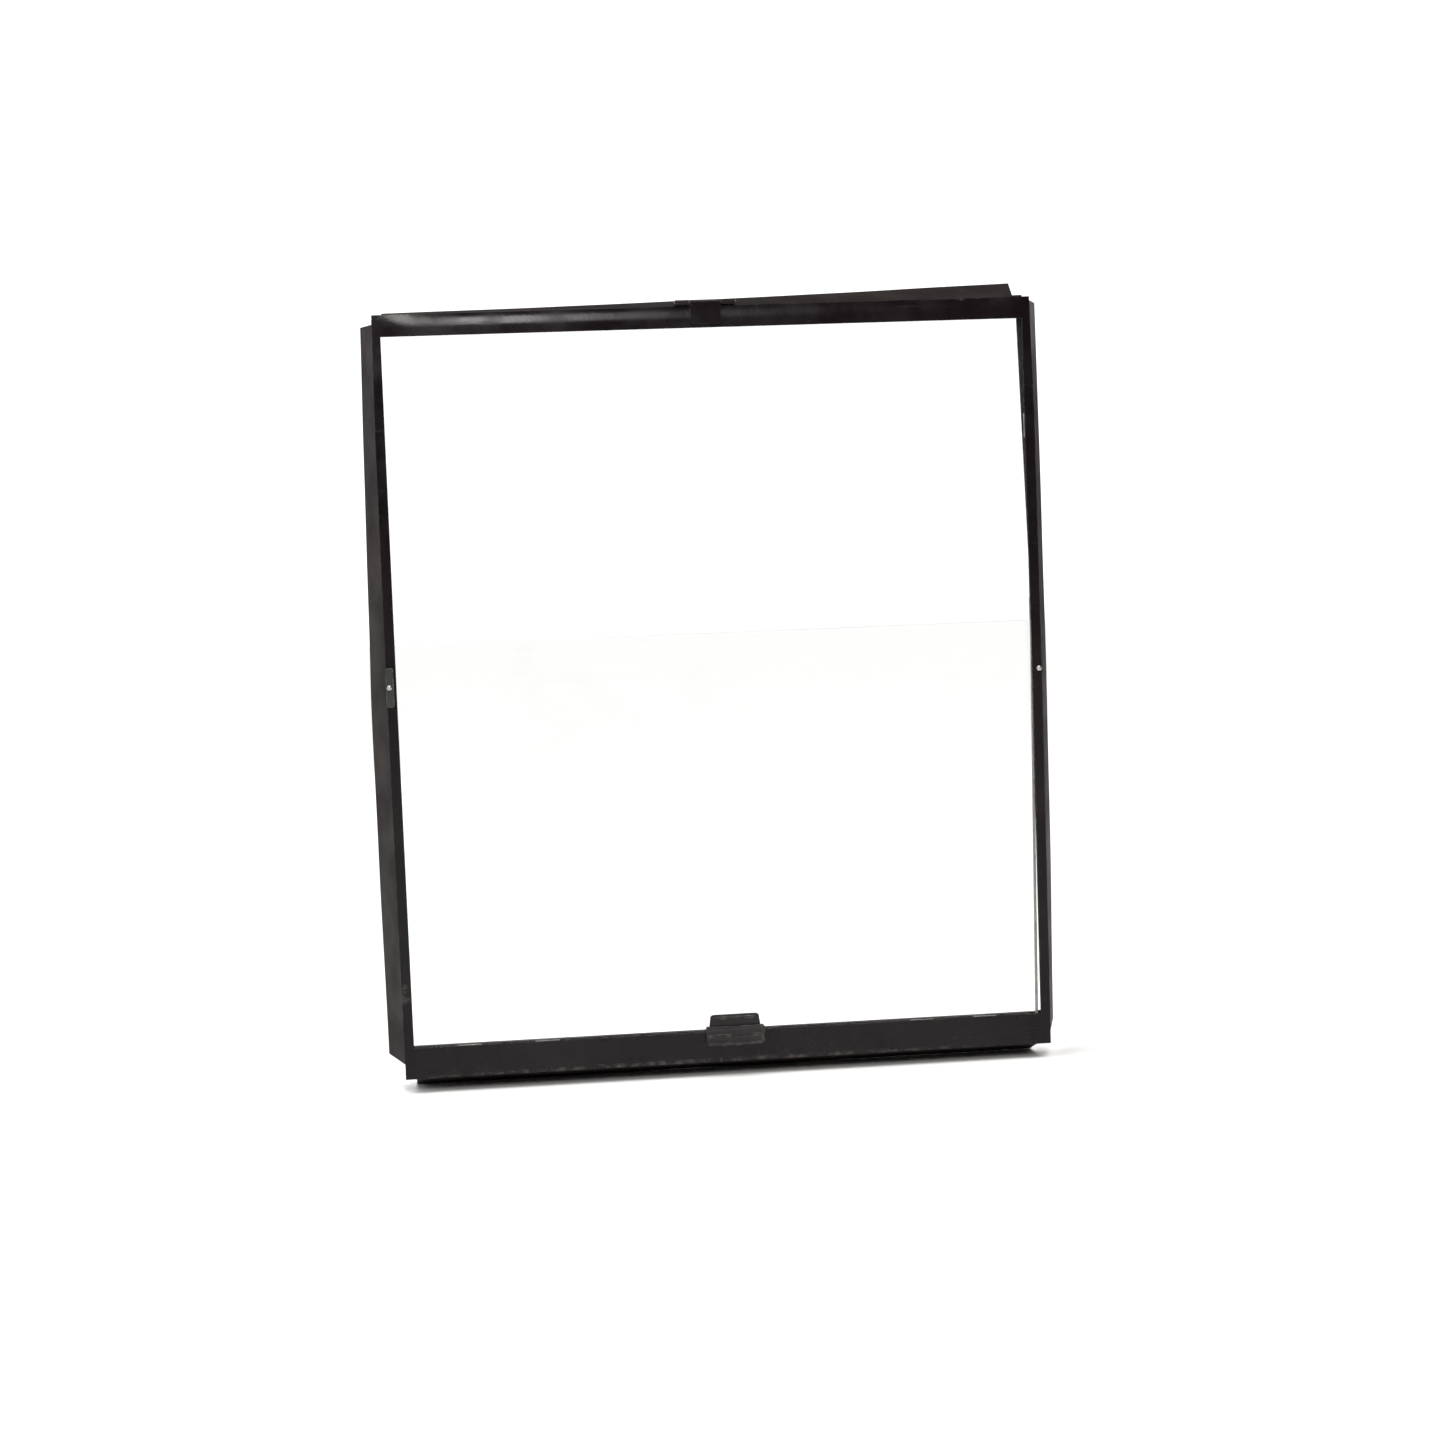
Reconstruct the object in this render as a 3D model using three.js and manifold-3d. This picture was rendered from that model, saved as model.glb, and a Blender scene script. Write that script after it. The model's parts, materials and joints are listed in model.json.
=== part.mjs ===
// Floating frame: a black sheet-metal frame with two clear panes. The picture is pressed between them.
// The rear leaf is a tray of four skirts that flare towards the wall, each with a return lip and a ledge
// for the rear pane. The front leaf is a flat ring with the front pane, hinged to the rear leaf at the
// top and held by a slide catch below.
//
// Millimetres. X to the right, Y from front to back, Z up. The origin is the middle of the bounding
// box's bottom. Inside this file Y is measured from the front of the face ring.

import * as THREE from 'three';
import { mergeVertices } from 'three/addons/utils/BufferGeometryUtils.js';
import Module from 'manifold-3d';

const wasm = await Module();
wasm.setup();

// ---------------------------------------------------------------- driving dimensions

// Running clearance, and the clearance between pieces that are soldered, clipped or riveted together.
const GAP = 0.15;

const FACE = { halfWidth: 110, height: 254.2, foot: 5, thick: 1.2 };
const FACE_RAIL = { side: 2.7, top: 7.2, bottom: 10.4 };
const HALF_HEIGHT = FACE.height / 2;
const CENTRE_Z = FACE.foot + HALF_HEIGHT;
const FACE_TOP = FACE.foot + FACE.height;

const SKIRT = { front: 1.5, rear: 19, thick: 0.8, segments: 12 };
const RETURN_LIP = { reach: 4, thick: 0.8 };
const LEDGE = { front: 6.5, back: 7.5, side: 1.9, top: 6.6, bottom: 10.4, endInset: 1 };
// The right ledge is narrow up to this height, and then widens upwards at this rate.
const RIGHT_LEDGE = { reach: 109.3, narrowTo: 131, rate: 0.0235 };
const CORNER_PLATE = {
  outerX: 110.2,
  innerX: { left: 108.3, right: 109.2 },
  leg: 14,
  width: 5,
  thick: 0.8,
  topInset: 1,
  bottomInset: 4.4,
};

const PANE = { thick: 2, nip: 0.8 };
const FRONT_PANE = { front: 1.35, halfWidth: 108.3, lapTop: 1.6, lapBottom: 1.4 };
const REAR_PANE = { front: 4.3, halfWidth: 108.7, lapTop: 1.5, lapBottom: 1.2 };
// The panes were cut together, a little out of square: their right edges lean in towards the bottom.
const PANE_LEAN = { from: FACE.foot + 140, reach: 106.3 };
const CLIP = { thick: 0.4, length: 8, inset: 0.2 };

const LAP = { half: 6.5, left: 131.5, right: 128.8, play: 0.05, root: 1 };
// The side rails bow outwards a little: how far their outer and inner edges reach at the laps, and how
// far the inner edges reach at the bottom.
const BOW = {
  left: { outer: 110.5, inner: 107.2, innerFoot: 106.8 },
  right: { outer: 110.65, inner: 107.4, innerFoot: 106.9 },
};
const BOW_TOP = FACE.foot + 214;
const RIVET = {
  headRadius: 0.95,
  headHeight: 0.55,
  shankRadius: 0.45,
  holeRadius: 0.6,
  inset: 0.95,
  domeSteps: 5,
};
const SPLICE_PLATE = { width: 2.6, height: 13, thick: 0.5, overhang: 0.2 };

const HINGE = {
  y: 0.15,
  z: FACE_TOP + 1.15,
  barrelRadius: 0.9,
  boreRadius: 0.5,
  strapLeft: -4.8,
  strapRight: 5.5,
  outerLeft: -9.7,
  outerRight: 10.4,
  clearance: 0.2,
  sheet: 0.6,
  strapDrop: 6.2,
  leafFront: 1.9,
  leafRear: 9,
  leafLift: 0.35,
  armBottom: FACE_TOP + 0.45,
  armTop: FACE_TOP + 1,
  armOverlap: 0.4,
};
const HINGE_PIN = { radius: 0.4, headRadius: 0.7, headThick: 0.45, headOverlap: 0.1 };

const CATCH = { centreX: 1.25, bottom: FACE.foot + 6, travel: 2 };
const CATCH_FRONT = -2.4;
const CATCH_GUIDE = {
  width: 19.7,
  height: 6.4,
  front: -1.9,
  lowerRadius: 1.1,
  upperRadius: 0.5,
  grooveRise: 3,
  grooveHeight: 0.5,
  grooveFloor: -1.6,
  lipInset: 1.1,
  lipHeight: 0.8,
  rimWidth: 0.9,
  rimHeight: 5,
  rimFront: -2.2,
};
const CATCH_SLIDER = {
  width: 17.4,
  thick: 0.75,
  top: FACE.foot + 16.3,
  taper: 0.35,
  cornerRadius: 1.4,
  lift: 0.1,
  ridgeInset: 2,
  ridgeDrop: 1.5,
  ridgeHeight: 0.7,
  ridgeProud: 0.4,
  noseWidth: 5.9,
  noseHeight: 0.7,
  noseReach: 3,
};
const CATCH_KEEPER = { width: 7.5, sheet: 0.6, arm: 0.7, armFront: FACE.thick + 0.7, drop: 4 };

// Where two pieces are fused, one reaches this far into the other.
const FUSE = 0.2;

const ROUND_STEPS = 24;

// How far each skirt flares outwards at its rear edge, at five places evenly spaced along it. Seen from
// the front the four sides run anticlockwise: right side upwards, top leftwards, left downwards, bottom
// rightwards. endGap is how far each skirt stops short of the face's corner, and endSlant how much
// shorter it is at its rear edge.
const SIDES = [
  {
    name: 'right', turn: 0, reach: FACE.halfWidth, half: HALF_HEIGHT,
    flare: [5.0, 5.9, 6.25, 6.2, 5.95], endGap: [2.6, 0.9], endSlant: [2.8, 0],
  },
  {
    name: 'top', turn: -1, reach: HALF_HEIGHT, half: FACE.halfWidth,
    flare: [6.2, 4.6, 3.4, 2.4, 1.8], endGap: [5.2, 5.2], endSlant: [-2.2, -2.2],
  },
  {
    name: 'left', turn: 2, reach: FACE.halfWidth, half: HALF_HEIGHT,
    flare: [4.0, 5.1, 6.15, 6.05, 5.5], endGap: [2.9, 4.8], endSlant: [-0.3, 1.2],
  },
  {
    name: 'bottom', turn: 1, reach: HALF_HEIGHT, half: FACE.halfWidth,
    flare: [5, 5, 5, 5, 5], endGap: [4.0, 4.0], endSlant: [-0.5, -0.5],
  },
];

// ---------------------------------------------------------------- materials

function material(color, roughness, metalness) {
  return new THREE.MeshStandardMaterial({ color, roughness, metalness });
}

const blackPaint = material(0x262023, 0.42, 0.35);
const skirtPaint = material(0x332d2c, 0.5, 0.35);
const catchPaint = material(0x352f31, 0.4, 0.45);
const wornSteel = material(0x8f8d86, 0.35, 0.9);
const splicePaint = material(0x494944, 0.5, 0.6);
const clipSteel = material(0x6d6a66, 0.45, 0.85);
const clearGlass = new THREE.MeshStandardMaterial({
  color: 0xeef3f1,
  roughness: 0.03,
  metalness: 0,
  transparent: true,
  opacity: 0.2,
});

// ---------------------------------------------------------------- booleans

function toSolid(geometry) {
  const bare = geometry.clone();
  bare.deleteAttribute('normal');
  bare.deleteAttribute('uv');
  const merged = mergeVertices(bare, 1e-4);
  return new wasm.Manifold(new wasm.Mesh({
    numProp: 3,
    vertProperties: new Float32Array(merged.attributes.position.array),
    triVerts: new Uint32Array(merged.index.array),
  }));
}

function toGeometry(solid) {
  const mesh = solid.getMesh();
  const geometry = new THREE.BufferGeometry();
  geometry.setAttribute('position', new THREE.BufferAttribute(mesh.vertProperties, 3));
  geometry.setIndex(new THREE.BufferAttribute(mesh.triVerts, 1));
  geometry.computeVertexNormals();
  return geometry;
}

function join(first, ...others) {
  return toGeometry(others.reduce((solid, other) => solid.add(toSolid(other)), toSolid(first)));
}

function cut(first, ...tools) {
  return toGeometry(tools.reduce((solid, tool) => solid.subtract(toSolid(tool)), toSolid(first)));
}

// ---------------------------------------------------------------- basic shapes

function slab([x0, x1], [y0, y1], [z0, z1]) {
  const geometry = new THREE.BoxGeometry(x1 - x0, y1 - y0, z1 - z0);
  return geometry.translate((x0 + x1) / 2, (y0 + y1) / 2, (z0 + z1) / 2);
}

// A flat plate whose outline lies in the XZ plane.
function plate(shape, [y0, y1]) {
  const geometry = new THREE.ExtrudeGeometry(shape, {
    depth: y1 - y0,
    bevelEnabled: false,
    curveSegments: 6,
  });
  return geometry.rotateX(Math.PI / 2).translate(0, y1, 0);
}

function outline(points) {
  return new THREE.Shape(points.map(([x, z]) => new THREE.Vector2(x, z)));
}

function roundedOutline([x0, x1], [z0, z1], lowerRadius, upperRadius) {
  const shape = new THREE.Shape();
  shape.moveTo(x0 + lowerRadius, z0);
  shape.lineTo(x1 - lowerRadius, z0);
  shape.absarc(x1 - lowerRadius, z0 + lowerRadius, lowerRadius, -Math.PI / 2, 0, false);
  shape.lineTo(x1, z1 - upperRadius);
  shape.absarc(x1 - upperRadius, z1 - upperRadius, upperRadius, 0, Math.PI / 2, false);
  shape.lineTo(x0 + upperRadius, z1);
  shape.absarc(x0 + upperRadius, z1 - upperRadius, upperRadius, Math.PI / 2, Math.PI, false);
  shape.lineTo(x0, z0 + lowerRadius);
  shape.absarc(x0 + lowerRadius, z0 + lowerRadius, lowerRadius, Math.PI, Math.PI * 1.5, false);
  return shape;
}

function barAlongX(radius, [x0, x1], y, z) {
  const geometry = new THREE.CylinderGeometry(radius, radius, x1 - x0, ROUND_STEPS);
  return geometry.rotateZ(Math.PI / 2).translate((x0 + x1) / 2, y, z);
}

function barAlongY(radius, [y0, y1], x, z) {
  const geometry = new THREE.CylinderGeometry(radius, radius, y1 - y0, ROUND_STEPS);
  return geometry.translate(x, (y0 + y1) / 2, z);
}

// Pieces that repeat on the four sides are built as the right side about the face's centre, with X
// outwards and Z along the side, and then turned about Y by quarter turns.
function placeOnSide(geometry, side) {
  return geometry.rotateY(side.turn * Math.PI / 2).translate(0, 0, CENTRE_Z);
}

function faceWindowReach(sideName) {
  if (sideName === 'top') return HALF_HEIGHT - FACE_RAIL.top;
  if (sideName === 'bottom') return HALF_HEIGHT - FACE_RAIL.bottom;
  return FACE.halfWidth - FACE_RAIL.side;
}

function ledgeReach(sideName) {
  if (sideName === 'top') return HALF_HEIGHT - LEDGE.top;
  if (sideName === 'bottom') return HALF_HEIGHT - LEDGE.bottom;
  return FACE.halfWidth - LEDGE.side;
}

function paneReach(spec, windowReach, sideName) {
  if (sideName === 'top') return windowReach(sideName) + spec.lapTop;
  if (sideName === 'bottom') return windowReach(sideName) + spec.lapBottom;
  return spec.halfWidth;
}

// ---------------------------------------------------------------- rear leaf

// The skirt's flare at t, which runs from -1 to 1 along the side.
function flareAt(side, t) {
  const last = side.flare.length - 1;
  const place = THREE.MathUtils.clamp((t + 1) / 2, 0, 1) * last;
  const index = Math.min(Math.floor(place), last - 1);
  return THREE.MathUtils.lerp(side.flare[index], side.flare[index + 1], place - index);
}

function skirtDepth(y) {
  return (y - SKIRT.front) / (SKIRT.rear - SKIRT.front);
}

// A straight strip along a side, in steps that are short enough to bend.
function strip([x0, x1], [y0, y1], [start, end]) {
  const geometry = new THREE.BoxGeometry(x1 - x0, y1 - y0, end - start, 1, 1, SKIRT.segments);
  return geometry.translate((x0 + x1) / 2, (y0 + y1) / 2, (start + end) / 2);
}

// Leans a strip outwards: points beyond fromX move out in step with their depth, as the skirt does.
function leanOut(geometry, side, fromX) {
  const position = geometry.attributes.position;
  for (let i = 0; i < position.count; i += 1) {
    const x = position.getX(i);
    if (x >= fromX) {
      const flare = flareAt(side, position.getZ(i) / side.half);
      position.setX(i, x + flare * skirtDepth(position.getY(i)));
    }
  }
  return geometry;
}

// Slants a strip's ends, so that it is shorter or longer at its rear edge than at its front edge.
function slantEnds(geometry, side, [start, end]) {
  const position = geometry.attributes.position;
  const [startSlant, endSlant] = side.endSlant;
  for (let i = 0; i < position.count; i += 1) {
    const along = position.getZ(i);
    const depth = skirtDepth(position.getY(i));
    if (along < start + GAP) {
      position.setZ(i, along + startSlant * depth);
    }
    if (along > end - GAP) {
      position.setZ(i, along - endSlant * depth);
    }
  }
  return geometry;
}

function skirtEnds(side) {
  const [startGap, endGap] = side.endGap;
  return [-side.half + startGap, side.half - endGap];
}

function rearSkirt(side) {
  const ends = skirtEnds(side);
  const sheet = strip([side.reach - SKIRT.thick, side.reach], [SKIRT.front, SKIRT.rear], ends);
  return placeOnSide(slantEnds(leanOut(sheet, side, 0), side, ends), side);
}

// Flat strip that closes the skirt's rear edge inwards and gives the frame its flat back.
function returnLip(side) {
  const ends = skirtEnds(side);
  const lip = strip(
    [side.reach - RETURN_LIP.reach, side.reach - SKIRT.thick - GAP],
    [SKIRT.rear - RETURN_LIP.thick, SKIRT.rear],
    ends,
  );
  return placeOnSide(slantEnds(leanOut(lip, side, 0), side, ends), side);
}

// Flat strip soldered inside the skirt, half-way back, for the rear pane to bear on.
function rearLedge(side) {
  const outerEdge = side.reach - SKIRT.thick - GAP;
  const ledge = strip([ledgeReach(side.name), outerEdge], [LEDGE.front, LEDGE.back], ledgeEnds(side));
  leanOut(ledge, side, outerEdge - GAP);
  if (side.name === 'right') {
    narrowRightLedge(ledge);
  }
  return placeOnSide(ledge, side);
}

// Moves the right ledge's inner edge, which stays upright until then, to where it belongs.
function narrowRightLedge(geometry) {
  const position = geometry.attributes.position;
  const innerEdge = ledgeReach('right');
  for (let i = 0; i < position.count; i += 1) {
    const height = position.getZ(i) + HALF_HEIGHT;
    const widening = Math.max(0, height - RIGHT_LEDGE.narrowTo) * RIGHT_LEDGE.rate;
    if (position.getX(i) < innerEdge + GAP) {
      position.setX(i, RIGHT_LEDGE.reach - widening);
    }
  }
}

// The top and bottom ledges run from side to side, and the side ledges stand between them.
function ledgeEnds(side) {
  if (side.name === 'top' || side.name === 'bottom') {
    return [-side.half + LEDGE.endInset, side.half - LEDGE.endInset];
  }
  const up = ledgeReach('top') - GAP;
  const down = ledgeReach('bottom') - GAP;
  return side.name === 'right' ? [-down, up] : [-up, down];
}

// Small L-shaped plate soldered behind the ledges where two sides meet.
function cornerPlate(signX, atTop) {
  const edge = atTop ? FACE_TOP - CORNER_PLATE.topInset : FACE.foot + CORNER_PLATE.bottomInset;
  const inward = atTop ? -1 : 1;
  const legEnd = edge + inward * (CORNER_PLATE.width + CORNER_PLATE.leg);
  const innerEdge = edge + inward * CORNER_PLATE.width;
  const barEnd = CORNER_PLATE.outerX - CORNER_PLATE.leg;
  const innerX = signX < 0 ? CORNER_PLATE.innerX.left : CORNER_PLATE.innerX.right;
  const shape = outline([
    [signX * CORNER_PLATE.outerX, edge],
    [signX * CORNER_PLATE.outerX, legEnd],
    [signX * innerX, legEnd],
    [signX * innerX, innerEdge],
    [signX * barEnd, innerEdge],
    [signX * barEnd, edge],
  ]);
  return plate(shape, [LEDGE.back + GAP, LEDGE.back + GAP + CORNER_PLATE.thick]);
}

// A pane's cut corners are ground off, as a glazier does.
function pane(spec, windowReach) {
  const top = CENTRE_Z + paneReach(spec, windowReach, 'top');
  const bottom = CENTRE_Z - paneReach(spec, windowReach, 'bottom');
  const side = spec.halfWidth;
  const foot = PANE_LEAN.reach;
  const nip = PANE.nip;
  const shape = outline([
    [-side + nip, bottom], [foot - nip, bottom],
    [foot, bottom + nip], [side, PANE_LEAN.from], [side, top - nip],
    [side - nip, top], [-side + nip, top],
    [-side, top - nip], [-side, bottom + nip],
  ]);
  return plate(shape, [spec.front, spec.front + PANE.thick]);
}

// A bent tab that grips a pane's edge. The leg stands outside the pane and the foot laps its face.
function glassClip(side, along, { paneEdge, windowEdge, legDepth, footDepth }) {
  const ends = [along - CLIP.length / 2, along + CLIP.length / 2];
  const legOuter = paneEdge + GAP + CLIP.thick;
  const leg = slab([paneEdge + GAP, legOuter], legDepth, ends);
  const foot = slab([windowEdge + CLIP.inset, legOuter], footDepth, ends);
  return placeOnSide(join(leg, foot), side);
}

function frontClip(side, along) {
  const footFront = FRONT_PANE.front + PANE.thick + GAP;
  const footBack = footFront + CLIP.thick;
  return glassClip(side, along, {
    paneEdge: paneReach(FRONT_PANE, faceWindowReach, side.name),
    windowEdge: faceWindowReach(side.name),
    legDepth: [FACE.thick + GAP, footBack],
    footDepth: [footFront, footBack],
  });
}

function rearClip(side, along) {
  const footBack = REAR_PANE.front - GAP;
  const footFront = footBack - CLIP.thick;
  return glassClip(side, along, {
    paneEdge: paneReach(REAR_PANE, ledgeReach, side.name),
    windowEdge: Math.max(ledgeReach(side.name), faceWindowReach(side.name)),
    legDepth: [footFront, LEDGE.front - GAP],
    footDepth: [footFront, footBack],
  });
}

// ---------------------------------------------------------------- front leaf

// One U-shaped half of the face ring. Its legs end in half-thickness tongues that lap the other half.
function faceHalf(isUpper) {
  const direction = isUpper ? 1 : -1;
  const halfThick = FACE.thick / 2 - LAP.play;
  const tongueDepth = isUpper ? [0, halfThick] : [FACE.thick - halfThick, FACE.thick];
  const leftEnd = FACE.foot + LAP.left + direction * LAP.half;
  const rightEnd = FACE.foot + LAP.right + direction * LAP.half;
  const body = plate(outline([
    ...faceCorner(1, isUpper, rightEnd),
    ...faceCorner(-1, isUpper, leftEnd).reverse(),
  ]), [0, FACE.thick]);
  const leftTongue = tongue([-BOW.left.outer, -BOW.left.inner], tongueDepth, leftEnd, direction);
  const rightTongue = tongue([BOW.right.inner, BOW.right.outer], tongueDepth, rightEnd, direction);
  const holes = [-1, 1].map((sign) => rivetHole(sign));
  return cut(join(body, leftTongue, rightTongue), ...holes);
}

// The outline of one leg and corner of a half, from the ring's corner round to the window's corner.
function faceCorner(signX, isUpper, legEnd) {
  const { outer, inner, innerFoot } = signX < 0 ? BOW.left : BOW.right;
  if (isUpper) {
    const windowCorner = [signX * (FACE.halfWidth - FACE_RAIL.side), FACE_TOP - FACE_RAIL.top];
    return [
      [signX * FACE.halfWidth, FACE_TOP],
      [signX * outer, BOW_TOP],
      [signX * outer, legEnd],
      [signX * inner, legEnd],
      windowCorner,
    ];
  }
  return [
    [signX * FACE.halfWidth, FACE.foot],
    [signX * outer, legEnd],
    [signX * inner, legEnd],
    [signX * innerFoot, FACE.foot + FACE_RAIL.bottom],
  ];
}

function tongue(xRange, yRange, rootZ, direction) {
  const tipZ = rootZ - direction * (2 * LAP.half - GAP);
  const insideZ = rootZ + direction * LAP.root;
  return slab(xRange, yRange, [Math.min(tipZ, insideZ), Math.max(tipZ, insideZ)]);
}

function rivetPlace(sign) {
  const height = sign < 0 ? LAP.left : LAP.right;
  const reach = sign < 0 ? BOW.left.outer : BOW.right.outer;
  return { x: sign * (reach - RIVET.inset), z: FACE.foot + height };
}

function rivetHole(sign) {
  const { x, z } = rivetPlace(sign);
  return barAlongY(RIVET.holeRadius, [-1, FACE.thick + 1], x, z);
}

function catchSlot() {
  const bottom = CATCH.bottom - GAP;
  return slab(
    centred(CATCH_SLIDER.noseWidth + 2 * GAP),
    [-1, FACE.thick + 1],
    [bottom, bottom + CATCH_SLIDER.lift + CATCH_SLIDER.noseHeight + CATCH.travel + 2 * GAP],
  );
}

// Domed rivet with its head towards the front.
function rivet(sign, seatY) {
  const { x, z } = rivetPlace(sign);
  const profile = [new THREE.Vector2(0, seatY - RIVET.headHeight)];
  const steps = RIVET.domeSteps;
  for (let i = 1; i <= steps; i += 1) {
    const angle = (i / steps) * Math.PI / 2;
    profile.push(new THREE.Vector2(
      RIVET.headRadius * Math.sin(angle),
      seatY - RIVET.headHeight * Math.cos(angle),
    ));
  }
  profile.push(new THREE.Vector2(RIVET.shankRadius, seatY));
  profile.push(new THREE.Vector2(RIVET.shankRadius, FACE.thick));
  profile.push(new THREE.Vector2(0, FACE.thick));
  return new THREE.LatheGeometry(profile, ROUND_STEPS).translate(x, 0, z);
}

function splicePlate() {
  const left = -BOW.left.outer - SPLICE_PLATE.overhang;
  const z = FACE.foot + LAP.left;
  const blank = slab(
    [left, left + SPLICE_PLATE.width],
    [-GAP - SPLICE_PLATE.thick, -GAP],
    [z - SPLICE_PLATE.height / 2, z + SPLICE_PLATE.height / 2],
  );
  return cut(blank, rivetHole(-1));
}

// ---------------------------------------------------------------- hinge

function hingeBarrel(xRange) {
  return barAlongX(HINGE.barrelRadius, xRange, HINGE.y, HINGE.z);
}

function hingeBore() {
  return barAlongX(HINGE.boreRadius, [HINGE.outerLeft - 1, HINGE.outerRight + 1], HINGE.y, HINGE.z);
}

function hingeFrontStrap() {
  const front = HINGE.y - HINGE.barrelRadius;
  const xRange = [HINGE.strapLeft, HINGE.strapRight];
  const strap = slab(xRange, [front, front + HINGE.sheet], [FACE_TOP - HINGE.strapDrop, HINGE.z]);
  return cut(join(hingeBarrel(xRange), strap), hingeBore());
}

// The rear leaf of the hinge lies on the top skirt and carries the two outer knuckles.
function hingeRearLeaf() {
  const middleFlare = flareAt(SIDES[1], 0);
  const slope = middleFlare / (SKIRT.rear - SKIRT.front);
  const underside = (y) => FACE_TOP + HINGE.leafLift + slope * (y - SKIRT.front);
  const flange = new THREE.Shape();
  flange.moveTo(HINGE.leafFront, underside(HINGE.leafFront));
  flange.lineTo(HINGE.leafRear, underside(HINGE.leafRear));
  flange.lineTo(HINGE.leafRear, underside(HINGE.leafRear) + HINGE.sheet);
  flange.lineTo(HINGE.leafFront, underside(HINGE.leafFront) + HINGE.sheet);
  const alongX = new THREE.Matrix4().makeBasis(
    new THREE.Vector3(0, 1, 0),
    new THREE.Vector3(0, 0, 1),
    new THREE.Vector3(1, 0, 0),
  );
  const leaf = new THREE.ExtrudeGeometry(flange, {
    depth: HINGE.outerRight - HINGE.outerLeft,
    bevelEnabled: false,
  });
  leaf.applyMatrix4(alongX).translate(HINGE.outerLeft, 0, 0);
  const knuckles = [
    [HINGE.outerLeft, HINGE.strapLeft - HINGE.clearance],
    [HINGE.strapRight + HINGE.clearance, HINGE.outerRight],
  ];
  const pieces = knuckles.flatMap((xRange) => [
    hingeBarrel(xRange),
    slab(xRange, [HINGE.y, HINGE.leafFront + HINGE.armOverlap], [HINGE.armBottom, HINGE.armTop]),
  ]);
  return cut(join(leaf, ...pieces), hingeBore());
}

function hingePin() {
  const left = HINGE.outerLeft - GAP;
  const right = HINGE.outerRight + GAP;
  const { radius, headRadius, headThick, headOverlap } = HINGE_PIN;
  return join(
    barAlongX(radius, [left - headOverlap, right + headOverlap], HINGE.y, HINGE.z),
    barAlongX(headRadius, [left - headThick, left], HINGE.y, HINGE.z),
    barAlongX(headRadius, [right, right + headThick], HINGE.y, HINGE.z),
  );
}

// ---------------------------------------------------------------- slide catch

function centred(width) {
  return [CATCH.centreX - width / 2, CATCH.centreX + width / 2];
}

// A shallow channel soldered to the bottom rail, open at the top and bottom for the slider. Its front
// has a groove, and a raised lip along its bottom that turns up its right end.
function catchGuide() {
  const [left, right] = centred(CATCH_GUIDE.width);
  const bottom = CATCH.bottom;
  const top = bottom + CATCH_GUIDE.height;
  const { lowerRadius, upperRadius, front } = CATCH_GUIDE;
  const blank = plate(roundedOutline([left, right], [bottom, top], lowerRadius, upperRadius), [front, -GAP]);
  const channel = slab(
    centred(CATCH_SLIDER.width + 2 * GAP),
    [-2 * GAP - CATCH_SLIDER.thick, 1],
    [bottom - 1, top + 1],
  );
  const grooveBottom = bottom + CATCH_GUIDE.grooveRise;
  const groove = slab(
    [left - 1, right - CATCH_GUIDE.rimWidth],
    [front - 1, CATCH_GUIDE.grooveFloor],
    [grooveBottom, grooveBottom + CATCH_GUIDE.grooveHeight],
  );
  const lip = slab(
    [left + CATCH_GUIDE.lipInset, right - CATCH_GUIDE.lipInset],
    [CATCH_FRONT, front + FUSE],
    [bottom, bottom + CATCH_GUIDE.lipHeight],
  );
  const rim = slab(
    [right - CATCH_GUIDE.rimWidth, right],
    [CATCH_GUIDE.rimFront, front + FUSE],
    [bottom + lowerRadius, bottom + lowerRadius + CATCH_GUIDE.rimHeight],
  );
  return join(cut(blank, channel, groove), lip, rim);
}

// Outline of the slider. The thumb tab above the guide narrows a little and has round corners.
function sliderOutline(bottom) {
  const [left, right] = centred(CATCH_SLIDER.width);
  const { top, taper, cornerRadius } = CATCH_SLIDER;
  const shoulder = CATCH.bottom + CATCH_GUIDE.height;
  const shape = new THREE.Shape();
  shape.moveTo(left, bottom);
  shape.lineTo(right, bottom);
  shape.lineTo(right, shoulder);
  shape.lineTo(right - taper, top - cornerRadius);
  shape.quadraticCurveTo(right - taper, top, right - taper - cornerRadius, top);
  shape.lineTo(left + taper + cornerRadius, top);
  shape.quadraticCurveTo(left + taper, top, left + taper, top - cornerRadius);
  shape.lineTo(left, shoulder);
  return shape;
}

// The slider's top is the thumb tab. Its nose reaches back through the rail to the keeper.
function catchSlider() {
  const bottom = CATCH.bottom + CATCH_SLIDER.lift;
  const back = -GAP;
  const front = back - CATCH_SLIDER.thick;
  const body = plate(sliderOutline(bottom), [front, back]);
  const nose = slab(
    centred(CATCH_SLIDER.noseWidth),
    [front + FUSE, CATCH_SLIDER.noseReach],
    [bottom, bottom + CATCH_SLIDER.noseHeight],
  );
  const ridgeBottom = CATCH_SLIDER.top - CATCH_SLIDER.ridgeDrop;
  const ridge = slab(
    centred(CATCH_SLIDER.width - 2 * CATCH_SLIDER.ridgeInset),
    [front - CATCH_SLIDER.ridgeProud, front + FUSE],
    [ridgeBottom, ridgeBottom + CATCH_SLIDER.ridgeHeight],
  );
  return join(body, nose, ridge);
}

// Angle bracket on the bottom ledge. Its arm reaches forward under the slider's nose.
function catchKeeper() {
  const width = centred(CATCH_KEEPER.width);
  const armTop = CATCH.bottom + CATCH_SLIDER.lift - 2 * GAP;
  const footBack = LEDGE.front - GAP;
  const foot = slab(width, [footBack - CATCH_KEEPER.sheet, footBack], [armTop - CATCH_KEEPER.drop, armTop]);
  const arm = slab(width, [CATCH_KEEPER.armFront, footBack], [armTop - CATCH_KEEPER.arm, armTop]);
  return join(foot, arm);
}

// ---------------------------------------------------------------- assembly

const frame = new THREE.Group();

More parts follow.
